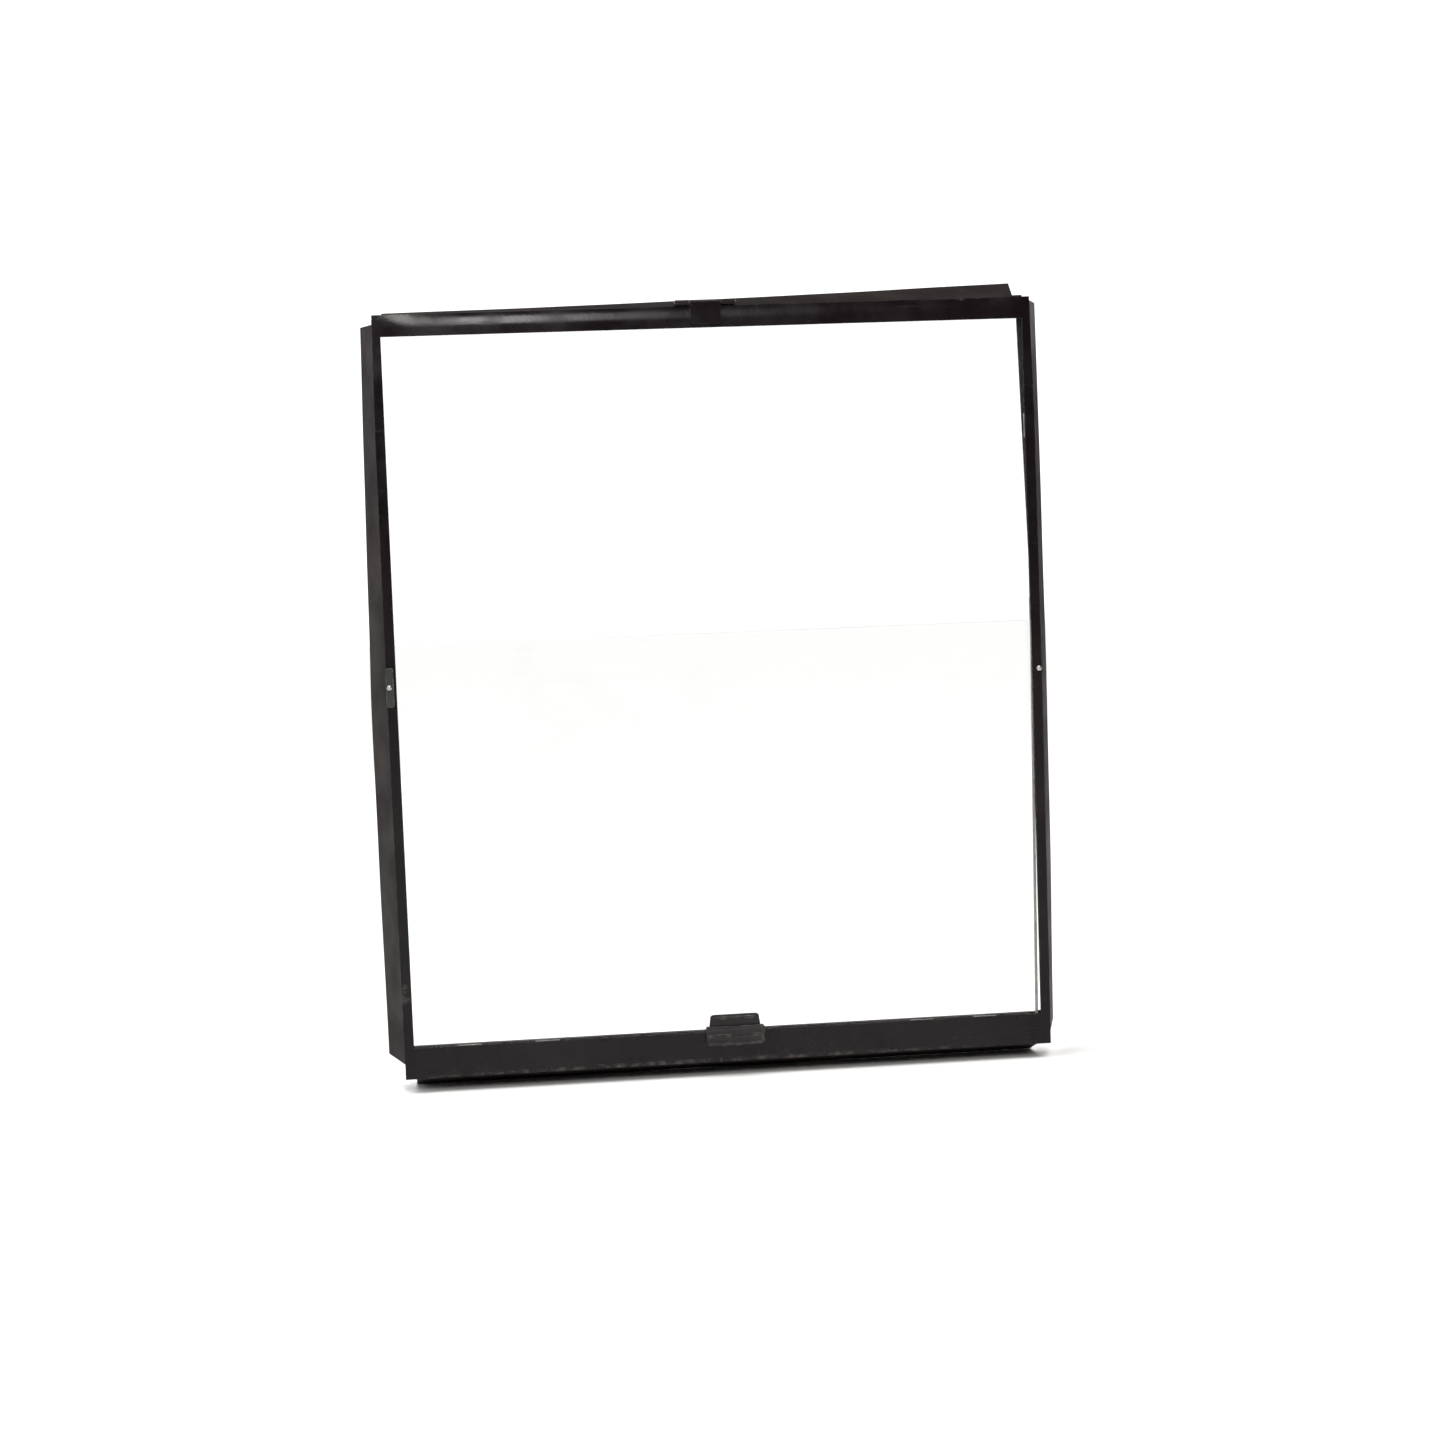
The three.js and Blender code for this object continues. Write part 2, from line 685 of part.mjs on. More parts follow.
function addPart(name, geometry, finish) {
  const mesh = new THREE.Mesh(geometry, finish);
  mesh.name = name;
  frame.add(mesh);
}

const CLIP_PLACES = {
  right: { front: [22, 84], rear: [34, 100] },
  top: { front: [-62, 62], rear: [-88, 88] },
  left: { front: [-74, 78], rear: [-96, 100] },
  bottom: { front: [-62, 66], rear: [-88, 88] },
};

for (const side of SIDES) {
  addPart(`rear_skirt_${side.name}`, rearSkirt(side), skirtPaint);
  addPart(`rear_lip_${side.name}`, returnLip(side), skirtPaint);
  addPart(`rear_ledge_${side.name}`, rearLedge(side), skirtPaint);
  CLIP_PLACES[side.name].front.forEach((along, index) => {
    addPart(`front_glass_clip_${side.name}_${index + 1}`, frontClip(side, along), clipSteel);
  });
  CLIP_PLACES[side.name].rear.forEach((along, index) => {
    addPart(`rear_glass_clip_${side.name}_${index + 1}`, rearClip(side, along), clipSteel);
  });
}
addPart('corner_plate_top_left', cornerPlate(-1, true), skirtPaint);
addPart('corner_plate_top_right', cornerPlate(1, true), skirtPaint);
addPart('corner_plate_bottom_left', cornerPlate(-1, false), skirtPaint);
addPart('corner_plate_bottom_right', cornerPlate(1, false), skirtPaint);
addPart('rear_glass', pane(REAR_PANE, ledgeReach), clearGlass);
addPart('front_glass', pane(FRONT_PANE, faceWindowReach), clearGlass);

addPart('face_upper_half', faceHalf(true), blackPaint);
addPart('face_lower_half', cut(faceHalf(false), catchSlot()), blackPaint);
addPart('splice_plate_left', splicePlate(), splicePaint);
addPart('side_rivet_left', rivet(-1, -GAP - SPLICE_PLATE.thick), wornSteel);
addPart('side_rivet_right', rivet(1, -GAP), wornSteel);

addPart('hinge_front_strap', hingeFrontStrap(), blackPaint);
addPart('hinge_rear_leaf', hingeRearLeaf(), skirtPaint);
addPart('hinge_pin', hingePin(), wornSteel);

addPart('catch_guide', catchGuide(), catchPaint);
addPart('catch_slider', catchSlider(), catchPaint);
addPart('catch_keeper', catchKeeper(), skirtPaint);

frame.position.y = -(SKIRT.rear + CATCH_FRONT) / 2;

export default frame;
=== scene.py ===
"""Floating frame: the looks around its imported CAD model. Metres. X is right, Y front to back, Z up."""

import json
import math

import bmesh
import bpy
from mathutils import Matrix, Vector, noise


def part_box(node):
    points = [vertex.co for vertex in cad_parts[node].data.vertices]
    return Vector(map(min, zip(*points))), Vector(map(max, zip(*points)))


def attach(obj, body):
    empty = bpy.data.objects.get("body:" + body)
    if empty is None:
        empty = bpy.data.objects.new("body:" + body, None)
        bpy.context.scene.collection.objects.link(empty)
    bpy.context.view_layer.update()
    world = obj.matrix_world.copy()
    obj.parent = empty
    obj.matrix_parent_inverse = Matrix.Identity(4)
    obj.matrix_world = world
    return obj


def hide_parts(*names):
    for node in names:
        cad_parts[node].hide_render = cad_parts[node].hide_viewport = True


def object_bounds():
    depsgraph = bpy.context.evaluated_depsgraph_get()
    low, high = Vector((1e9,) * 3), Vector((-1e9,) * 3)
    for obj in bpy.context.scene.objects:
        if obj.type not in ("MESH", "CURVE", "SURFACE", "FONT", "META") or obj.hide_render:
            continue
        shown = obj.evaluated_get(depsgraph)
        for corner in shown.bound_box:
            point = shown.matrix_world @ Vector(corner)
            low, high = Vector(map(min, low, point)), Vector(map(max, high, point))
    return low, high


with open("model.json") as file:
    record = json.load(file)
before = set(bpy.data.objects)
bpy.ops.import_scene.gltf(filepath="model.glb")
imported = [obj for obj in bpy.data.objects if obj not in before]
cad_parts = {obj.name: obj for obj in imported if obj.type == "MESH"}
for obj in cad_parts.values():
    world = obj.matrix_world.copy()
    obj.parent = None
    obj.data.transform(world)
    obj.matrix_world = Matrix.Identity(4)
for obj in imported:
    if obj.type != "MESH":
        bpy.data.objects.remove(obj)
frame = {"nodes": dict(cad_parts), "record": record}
cad_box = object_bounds()

MM = 0.001
SAME_PLACE = 0.01 * MM
QUARTER_TURN = math.pi / 2

NODES = frame["nodes"]
SLOTS = {part["node"]: part["material_slot"] for part in frame["record"]["subparts"]}
BODIES = {
    node: body
    for body, members in frame["record"]["behaviour"]["bodies"].items()
    for node in members
}

FACE_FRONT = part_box("face_upper_half")[0].y
REAR_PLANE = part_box("rear_lip_left")[1].y
CENTRE_Z = (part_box("face_upper_half")[1].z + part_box("face_lower_half")[0].z) / 2

# Outwards and along, for each side, as the CAD model lays them out.
SIDES = {
    "right": (Vector((1, 0, 0)), Vector((0, 0, 1))),
    "top": (Vector((0, 0, 1)), Vector((-1, 0, 0))),
    "left": (Vector((-1, 0, 0)), Vector((0, 0, -1))),
    "bottom": (Vector((0, 0, -1)), Vector((1, 0, 0))),
}
UPRIGHT_SIDES = ("left", "right")
CORNERS = ("top_left", "top_right", "bottom_left", "bottom_right")
MIDDLE = Vector((0, 0, CENTRE_Z))


# ---------------------------------------------------------------- shader helpers


def add(tree, kind, inputs=None, **settings):
    """Adds a shader node. An input is a value, or another node's output to link to it."""
    made = tree.nodes.new("ShaderNode" + kind)
    for key, value in settings.items():
        setattr(made, key, value)
    for key, value in (inputs or {}).items():
        if isinstance(value, bpy.types.NodeSocket):
            tree.links.new(value, made.inputs[key])
        else:
            made.inputs[key].default_value = value
    return made


def new_material(name):
    material = bpy.data.materials.new(name)
    material.use_nodes = True
    tree = material.node_tree
    tree.nodes.clear()
    return material, tree


def place(tree, scale):
    """Object coordinates, in metres, stretched by scale."""
    coordinates = add(tree, "TexCoord")
    mapping = add(tree, "Mapping", {"Vector": coordinates.outputs["Object"], "Scale": scale})
    return mapping.outputs["Vector"]


def grain(tree, scale, stretch=(1, 1, 1), detail=3.0, roughness=0.55, distortion=0.0):
    """Noise with scale features to the metre, from 0 to 1."""
    made = add(
        tree,
        "TexNoise",
        {
            "Vector": place(tree, stretch),
            "Scale": scale,
            "Detail": detail,
            "Roughness": roughness,
            "Distortion": distortion,
        },
    )
    return made.outputs["Fac"]


def between(tree, value, low, high, to_low=0.0, to_high=1.0):
    """Smooth step of value from low..high to to_low..to_high."""
    made = add(
        tree,
        "MapRange",
        {
            "Value": value,
            "From Min": low,
            "From Max": high,
            "To Min": to_low,
            "To Max": to_high,
        },
        interpolation_type="SMOOTHSTEP",
    )
    return made.outputs["Result"]


def combined(tree, operation, first, second):
    return add(tree, "Math", {0: first, 1: second}, operation=operation).outputs[0]


def times(tree, first, second):
    return combined(tree, "MULTIPLY", first, second)


def plus(tree, first, second):
    return combined(tree, "ADD", first, second)


def mixed(tree, share, first, second):
    """Mix of two colours."""
    made = add(tree, "Mix", {"Factor": share}, data_type="RGBA")
    for socket, value in ((made.inputs[6], first), (made.inputs[7], second)):
        if isinstance(value, bpy.types.NodeSocket):
            tree.links.new(value, socket)
        else:
            socket.default_value = (*value, 1)
    return made.outputs[2]


def shaded(colour, factor):
    """A lighter or darker colour, no brighter than white."""
    return tuple(min(1, factor * channel) for channel in colour)


def edge_mask(tree, radius):
    """1 on edges and corners within radius, 0 on flat surfaces."""
    flat_cosine, edge_cosine = 0.995, 0.90
    rounded = add(tree, "Bevel", {"Radius": radius}, samples=4)
    flat = add(tree, "NewGeometry")
    dot = add(
        tree,
        "VectorMath",
        {0: rounded.outputs["Normal"], 1: flat.outputs["Normal"]},
        operation="DOT_PRODUCT",
    )
    return between(tree, dot.outputs["Value"], flat_cosine, edge_cosine)


def spot(tree, centre, reach):
    """1 at centre, falling to 0 at the surface of an ellipsoid with these half-axes, in millimetres."""
    full_share = 0.3
    coordinates = add(tree, "TexCoord")
    away = add(
        tree,
        "VectorMath",
        {0: coordinates.outputs["Object"], 1: tuple(c * MM for c in centre)},
        operation="SUBTRACT",
    )
    scaled = add(
        tree,
        "VectorMath",
        {0: away.outputs["Vector"], 1: tuple(1 / (r * MM) for r in reach)},
        operation="MULTIPLY",
    )
    length = add(tree, "VectorMath", {0: scaled.outputs["Vector"]}, operation="LENGTH")
    return between(tree, length.outputs["Value"], 1.0, full_share)


def bumped(tree, layers):
    """Chains bump layers, each a height, a distance in metres and a strength."""
    normal = None
    for height, distance, strength in layers:
        inputs = {"Height": height, "Distance": distance, "Strength": strength}
        if normal is not None:
            inputs["Normal"] = normal
        normal = add(tree, "Bump", inputs).outputs["Normal"]
    return normal


def finish_surface(tree, inputs):
    shader = add(tree, "BsdfPrincipled", inputs)
    output = add(tree, "OutputMaterial")
    tree.links.new(shader.outputs[0], output.inputs["Surface"])


# ---------------------------------------------------------------- materials

# Features to the metre of each kind of unevenness in the paint.
PATCHES = 42
POLISH = 65
WAVES = 120
SCRATCHES = 260
RAGGED_WEAR = 330
LINT = 500
SPRAY_GRAIN = 900
SPECKS = 1100

BARE_METAL = (0.23, 0.21, 0.19)
DUST_COLOUR = (0.15, 0.135, 0.12)
GLASS_IOR = 1.48

# How far round an edge the paint is worn, and how thin a rub leaves it; the same share sets how light the
# painted highlight along the face's bottom edge is.
WORN_EDGE = 0.45 * MM
RUB_AND_HIGHLIGHT_SHARE = 0.22


def dust_on(tree, amount):
    """Lint on surfaces that face upwards, and specks everywhere."""
    facing = add(tree, "NewGeometry")
    upwards = add(tree, "SeparateXYZ", {0: facing.outputs["Normal"]}).outputs["Z"]
    settled = between(tree, upwards, 0.15, 0.95)
    lint = between(tree, grain(tree, LINT, detail=5, roughness=0.65), 0.35, 0.75)
    specks = between(tree, grain(tree, SPECKS, detail=2), 0.62, 0.72)
    fallen = times(tree, times(tree, settled, lint), amount)
    return plus(tree, fallen, times(tree, specks, 0.4 * amount))


def wear_and_highlight_on(tree, amount, rubs_and_highlights):
    """Ragged wear along the edges, in the rubbed places, and in the painted highlights listed with the rubs.
    """
    ragged = between(tree, grain(tree, RAGGED_WEAR, detail=6, roughness=0.7), 0.44, 0.66)
    wear_and_highlight = times(tree, times(tree, edge_mask(tree, WORN_EDGE), ragged), amount)
    for centre, reach in rubs_and_highlights:
        # Rubs, and painted highlights listed the same way.
        rubbed_or_highlit = times(tree, times(tree, spot(tree, centre, reach), ragged), RUB_AND_HIGHLIGHT_SHARE)
        wear_and_highlight = combined(tree, "MAXIMUM", wear_and_highlight, rubbed_or_highlit)
    return wear_and_highlight


def paint(name, base, patch, gloss, bare=BARE_METAL, dust=0.03, wear=0.5, run=(1, 1, 1), shine=0.3, rubs_and_highlights=()):
    """Thin black paint on sheet metal: patchy, finely scratched, rubbed through along its edges, and
    dusty on top. run stretches the scratches across the surface. The last argument lists the centres and
    reaches, in millimetres, of the places where it's rubbed thin, and of painted highlights, lightened the
    same way."""
    material, tree = new_material(name)
    patches = between(tree, grain(tree, PATCHES, detail=4), 0.35, 0.7)
    scratches = between(tree, grain(tree, SCRATCHES, run, detail=5, roughness=0.7), 0.60, 0.68)
    wear_and_highlight = wear_and_highlight_on(tree, wear, rubs_and_highlights)
    dusty = dust_on(tree, dust)

    scratch_colour = tuple(2.2 * c for c in patch)
    colour = mixed(tree, patches, base, patch)
    colour = mixed(tree, times(tree, scratches, 0.35), colour, scratch_colour)
    # Bare metal where worn, and a painted highlight in the band along the face's bottom edge.
    colour = mixed(tree, wear_and_highlight, colour, bare)
    colour = mixed(tree, dusty, colour, DUST_COLOUR)

    rough = between(tree, grain(tree, POLISH, detail=3), 0.3, 0.75, gloss - 0.07, gloss + 0.1)
    rough = plus(tree, rough, times(tree, dusty, 0.6))
    rough = plus(tree, rough, times(tree, scratches, 0.12))
    normal = bumped(
        tree,
        [
            (grain(tree, SPRAY_GRAIN, detail=2), 0.04 * MM, 0.35),
            (grain(tree, WAVES, detail=3), 0.12 * MM, 0.18),
            (scratches, 0.02 * MM, 0.25),
            (wear_and_highlight, -0.05 * MM, 0.5),
        ],
    )
    finish_surface(tree, {
        "Base Color": colour,
        "Metallic": times(tree, wear_and_highlight, 0.85),
        "Roughness": rough,
        "Normal": normal,
        "Specular IOR Level": shine,
    })
    return material


def steel(name, base, dark, gloss, run=(1, 1, 1)):
    """Plain or rubbed sheet steel, with drawn lines along run and grime in them."""
    material, tree = new_material(name)
    lines = grain(tree, 700, run, detail=4, roughness=0.7)
    grime = between(tree, grain(tree, 240, detail=5, roughness=0.65), 0.48, 0.72)
    colour = mixed(tree, between(tree, lines, 0.35, 0.7), base, shaded(base, 0.8))
    colour = mixed(tree, times(tree, grime, 0.6), colour, dark)
    colour = mixed(tree, times(tree, edge_mask(tree, 0.3 * MM), 0.5), colour, shaded(base, 1.5))
    rough = between(tree, lines, 0.3, 0.7, gloss - 0.06, gloss + 0.08)
    rough = plus(tree, rough, times(tree, grime, 0.25))
    normal = bumped(tree, [(lines, 0.02 * MM, 0.4), (grime, 0.04 * MM, 0.3)])
    finish_surface(
        tree, {"Base Color": colour, "Metallic": 0.92, "Roughness": rough, "Normal": normal}
    )
    return material


def clear_glass(name):
    """Polished faces, with faint smudges."""
    material, tree = new_material(name)
    smudges = between(tree, grain(tree, 26, detail=5, roughness=0.6, distortion=0.6), 0.52, 0.8)
    prints = between(tree, grain(tree, 160, (1, 1, 0.4), detail=3), 0.55, 0.8)
    haze = times(tree, smudges, prints)
    finish_surface(tree, {
        "Base Color": mixed(tree, smudges, (0.985, 0.992, 0.988), (0.955, 0.965, 0.958)),
        "Roughness": times(tree, haze, 0.12),
        "Transmission Weight": 1.0,
        "IOR": GLASS_IOR,
        "Normal": bumped(tree, [(grain(tree, 9, detail=1), 0.15 * MM, 0.15)]),
    })
    return material


def ground_edge(name):
    """The panes' ground edges: matt, grey and a little brown. The grey-brown is partly painted shade,
    standing for the shaded gap inside the right rail, where the broad chamfer shows it.
    """
    material, tree = new_material(name)
    nibbles = between(tree, grain(tree, 520, detail=5, roughness=0.7), 0.35, 0.75)
    finish_surface(tree, {
        # Painted shade: the dark grey-brown of the ground edges.
        "Base Color": mixed(tree, nibbles, (0.36, 0.335, 0.30), (0.20, 0.185, 0.165)),
        "Roughness": between(tree, nibbles, 0, 1, 0.35, 0.65),
        "Transmission Weight": 0.25,
        "IOR": GLASS_IOR,
        "Normal": bumped(tree, [(nibbles, 0.1 * MM, 0.7)]),
    })
    return material


def pale_floor(name):
    material, tree = new_material(name)
    tone = between(tree, grain(tree, 3, detail=3), 0.3, 0.7)
    finish_surface(tree, {
        "Base Color": mixed(tree, tone, (0.93, 0.925, 0.91), (0.89, 0.885, 0.87)),
        "Roughness": between(tree, tone, 0, 1, 0.6, 0.7),
        "Normal": bumped(tree, [(grain(tree, 400, detail=2), 0.05 * MM, 0.2)]),
    })
    return material


# Places on the face where hands and other things have rubbed the paint, and a painted highlight along its
# bottom edge: centre and reach.
FACE_RUBS_AND_HIGHLIGHT = (
    ((-109, -8, 34), (2.4, 3, 5.5)),
    ((87, -8, 259.5), (2.2, 3, 1.6)),
    ((92.6, -8, 259.8), (1.6, 3, 1.4)),
    # A painted highlight, not a rub: a light band along the face's bottom edge, where its rounded edge
    # catches light.
    ((-10, -8, 5.2), (125, 3, 1.7)),
)
ALONG_X = (0.04, 1, 1)
ALONG_Z = (1, 1, 0.04)

MATERIALS = {
    "face_paint": paint(
        "face_paint", (0.0030, 0.0010, 0.0020), (0.0060, 0.0034, 0.0046), 0.23,
        wear=0.22, run=ALONG_X, shine=0.18, rubs_and_highlights=FACE_RUBS_AND_HIGHLIGHT,
    ),
    "skirt_paint": paint(
        "skirt_paint", (0.0095, 0.0066, 0.0062), (0.0200, 0.0155, 0.0138), 0.56,
        wear=0.35, run=ALONG_Z, shine=0.10,
    ),
    "catch_paint": paint(
        "catch_paint", (0.0118, 0.0090, 0.0100), (0.025, 0.0205, 0.0220), 0.42,
        dust=0.05, wear=0.8, run=ALONG_X, shine=0.22,
    ),
    "splice_paint": paint(
        "splice_paint", (0.022, 0.0225, 0.0195), (0.060, 0.062, 0.053), 0.40,
        bare=(0.30, 0.30, 0.27), dust=0.05, wear=0.9, run=ALONG_Z,
    ),
    "dull_steel": steel("dull_steel", (0.10, 0.095, 0.09), (0.04, 0.036, 0.032), 0.45),
    "worn_steel": steel("worn_steel", (0.42, 0.41, 0.385), (0.12, 0.11, 0.095), 0.36),
    "clip_steel": steel("clip_steel", (0.40, 0.39, 0.37), (0.12, 0.11, 0.10), 0.40, (1, 1, 0.05)),
    "solder": steel("solder", (0.17, 0.165, 0.155), (0.012, 0.010, 0.010), 0.48),
    "clear_glass": clear_glass("clear_glass"),
    "ground_edge": ground_edge("ground_edge"),
}


# ---------------------------------------------------------------- mesh helpers


def cad_copy(node):
    """A bmesh of a CAD node's solid, welded, with its flat faces whole again."""
    weld = 0.002 * MM
    bm = bmesh.new()
    bm.from_mesh(NODES[node].data)
    bmesh.ops.remove_doubles(bm, verts=bm.verts, dist=weld)
    bmesh.ops.dissolve_limit(bm, angle_limit=math.radians(0.4), verts=bm.verts, edges=bm.edges)
    return bm


def soften(bm, radius, angle=35, segments=3, where=None):
    """Rounds the edges that are sharper than angle, in degrees, or those of them that where() picks."""
    edges = [
        edge
        for edge in bm.edges
        if len(edge.link_faces) == 2 and edge.calc_face_angle(0) > math.radians(angle)
    ]
    if where is not None:
        edges = [edge for edge in edges if where(edge)]
    if edges:
        bmesh.ops.bevel(
            bm,
            geom=edges,
            offset=radius,
            offset_type="OFFSET",
            segments=segments,
            profile=0.5,
            affect="EDGES",
            clamp_overlap=True,
        )


def cut_across(bm, axis, where):
    direction = Vector((0, 0, 0))
    direction[axis] = 1
    bmesh.ops.bisect_plane(
        bm,
        geom=bm.verts[:] + bm.edges[:] + bm.faces[:],
        dist=1e-7,
        plane_co=direction * where,
        plane_no=direction,
    )


def slice_up(bm, axis, step):
    """Cuts long faces across axis every step, so that they can be bent."""
    places = [vert.co[axis] for vert in bm.verts]
    place_now = min(places) + step
    while place_now < max(places) - step / 2:
        cut_across(bm, axis, place_now)
        place_now += step


def hand_bend(bm, amount=0.07 * MM):
    """The small unevenness of sheet that was worked by hand. It depends on place alone, so pieces that
    touch move together."""
    wavelength = 34 * MM
    for vert in bm.verts:
        across = Vector((vert.co.x / wavelength, 0.7, vert.co.z / wavelength))
        vert.co.y += amount * noise.noise(across)


def make_piece(name, bm, body, materials, replaced=(), smooth=40, weighted=True):
    """Turns bm into an object that rides on a body and stands for the replaced CAD nodes."""
    bmesh.ops.recalc_face_normals(bm, faces=bm.faces)
    mesh = bpy.data.meshes.new(name)
    bm.to_mesh(mesh)
    bm.free()
    for material in materials:
        mesh.materials.append(MATERIALS[material])
    mesh.shade_smooth()
    mesh.set_sharp_from_angle(angle=math.radians(smooth))
    piece = bpy.data.objects.new(name, mesh)
    bpy.context.scene.collection.objects.link(piece)
    if weighted:
        normals = piece.modifiers.new("even_shading", "WEIGHTED_NORMAL")
        normals.keep_sharp = True
    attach(piece, body)
    if replaced:
        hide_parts(*replaced)
    return piece


def refined(node, name, bm, smooth=40):
    """Makes bm the piece that stands for one CAD node, with that node's body and slot."""
    return make_piece(name, bm, BODIES[node], [SLOTS[node]], [node], smooth)


def rounded_path(corners, radii, steps=6):
    """Points along a flat path whose inner corners are rounded by arcs. Each corner is (u, y, along)."""
    path = [Vector(corners[0])]
    for before, corner, after, radius in zip(corners, corners[1:], corners[2:], radii):
        before, corner, after = Vector(before), Vector(corner), Vector(after)
        inwards = (before - corner).normalized()
        onwards = (after - corner).normalized()
        reach = radius / math.tan(inwards.angle(onwards) / 2)
        for i in range(steps + 1):
            t = i / steps
            start = corner + inwards * reach * (1 - t)
            end = corner + onwards * reach * t
            path.append(start.lerp(end, t))
    path.append(Vector(corners[-1]))
    return path


def offset_path(corners, distance):
    """The path moved sideways, in the plane of its first two coordinates."""
    normals = []
    for first, second in zip(corners, corners[1:]):
        step = Vector((second[0] - first[0], second[1] - first[1])).normalized()
        normals.append(Vector((step.y, -step.x)))
    moved = []
    for i, corner in enumerate(corners):
        before = normals[max(0, i - 1)]
        after = normals[min(i, len(normals) - 1)]
        shift = (before + after) * (distance / (1 + before.dot(after)))
        moved.append((corner[0] + shift.x, corner[1] + shift.y, corner[2]))
    return moved


def skin(bm, loops):
    """Closes the space between rings of vertices with faces, and both ends too."""
    count = len(loops[0])
    for first, second in zip(loops, loops[1:]):
        for i in range(count):
            j = (i + 1) % count
            bm.faces.new((first[i], first[j], second[j], second[i]))
    bm.faces.new(loops[0])
    bm.faces.new(reversed(loops[-1]))


def folded_sheet(stations, thick, fold, to_world, edge=0.18 * MM):
    """Sheet metal folded once. Each station lists the path's start, corner and end, and the sheet lies
    to the inner side of it. The fold is pushed out until it reaches as far as the corner does."""
    bm = bmesh.new()
    loops = []
    inner_fold = max(fold - abs(thick), 0.1 * MM)
    for start, corner, end in stations:
        short = corner[0] - max(point.x for point in rounded_path([start, corner, end], [fold]))
        corners = [start, (corner[0] + short, corner[1], corner[2]), end]
        outer = rounded_path(corners, [fold])
        inner = rounded_path(offset_path(corners, thick), [inner_fold])
        loops.append([bm.verts.new(to_world(point)) for point in outer + inner[::-1]])
    skin(bm, loops)
    bmesh.ops.recalc_face_normals(bm, faces=bm.faces)
    soften(bm, edge, angle=50, segments=2)
    return bm


def side_to_world(side):
    outwards, along = SIDES[side]
    return lambda p: MIDDLE + outwards * p[0] + along * p[2] + Vector((0, p[1], 0))


def world_to_side(side, point):
    outwards, along = SIDES[side]
    away = point - MIDDLE
    return (away.dot(outwards), point.y, away.dot(along))


def with_round_ends(points, radius):
    """Pairs of a point and its share of the radius. The first and last few shrink to make round ends."""
    ends = []
    for first, second in ((points[0], points[1]), (points[-1], points[-2])):
        onwards = (second - first).normalized()
        end = []
        for degrees in (8, 30, 55):
            turn = math.radians(degrees)
            end.append((first + onwards * radius * (1 - math.cos(turn)), math.sin(turn)))
        ends.append(end)
    return ends[0] + [(point, 1.0) for point in points[1:-1]] + ends[1][::-1]


def tube(bm, points, radius, sides, squash=1.0, lumps=0.0):
    """A round bar along points, in world coordinates. squash flattens it from front to back, and lumps
    makes its thickness uneven, as solder is."""
    loops = []
    route = with_round_ends(points, radius)
    for i, (point, share) in enumerate(route):
        ahead = route[min(i + 1, len(route) - 1)][0]
        behind = route[max(i - 1, 0)][0]
        onwards = (ahead - behind).normalized()
        side = onwards.cross(Vector((0, 1, 0))).normalized()
        lift = side.cross(onwards).normalized()
        size = radius * share * (1 + lumps * noise.noise(point * 260))
        ring = []
        for k in range(sides):
            angle = 2 * math.pi * k / sides
            offset = side * size * math.cos(angle) + lift * size * squash * math.sin(angle)
            ring.append(bm.verts.new(point + offset))
        loops.append(ring)
    skin(bm, loops)


def lathe(bm, profile, centre, axis, steps):
    """Spins (radius, height) points about axis through centre. The profile starts and ends on the axis."""
    axis = Vector(axis).normalized()
    across = axis.orthogonal().normalized()
    other = axis.cross(across)
    rings = []
    for radius, height in profile:
        middle = centre + axis * height
        if radius < 1e-9:
            rings.append([bm.verts.new(middle)])
            continue
        ring = []
        for k in range(steps):
            angle = 2 * math.pi * k / steps
            spoke = across * radius * math.cos(angle) + other * radius * math.sin(angle)
            ring.append(bm.verts.new(middle + spoke))
        rings.append(ring)
    for first, second in zip(rings, rings[1:]):
        for k in range(steps):
            j = (k + 1) % steps
            around = [first[k % len(first)], first[j % len(first)]]
            around += [second[j % len(second)], second[k % len(second)]]
            bm.faces.new(list(dict.fromkeys(around)))


# ---------------------------------------------------------------- rear leaf

SKIRT = {"thick": 0.8 * MM, "fold": 1.1 * MM, "lip_reach": 4 * MM, "unevenness": 0.14 * MM}
LEDGE_EDGE = 0.18 * MM
LEDGE_BEND = 0.05 * MM
LEDGE_SLICE = 9 * MM
SOLDER_BEAD = {"radius": 0.62 * MM, "from_skirt": 1.15 * MM, "behind": 0.15 * MM, "lumps": 0.9}
# How far each blob of solder on a corner plate lies from the plate's two outer edges, and its radius.
SOLDER_BLOBS = (
    (2.2 * MM, 2.2 * MM, 1.25 * MM),
    (9.5 * MM, 2.4 * MM, 1.25 * MM),
    (1.0 * MM, 12.5 * MM, 0.7 * MM),
)
SOLDER_HEIGHT = 0.55 * MM
SOLDER_ROOT = 0.1 * MM
SOLDER_LUMPS = 0.16 * MM


def resampled(points, count):
    """Evenly spaced points on a smooth curve through points."""
    made = []
    for i in range(count + 1):
        place_now = i / count * (len(points) - 1)
        index = min(int(place_now), len(points) - 2)
        t = place_now - index
        p0 = points[max(index - 1, 0)]
        p1, p2 = points[index], points[index + 1]
        p3 = points[min(index + 2, len(points) - 1)]
        made.append(0.5 * (
            2 * p1
            + (p2 - p0) * t
            + (2 * p0 - 5 * p1 + 4 * p2 - p3) * t * t
            + (3 * p1 - p0 - 3 * p2 + p3) * t ** 3
        ))
    return made


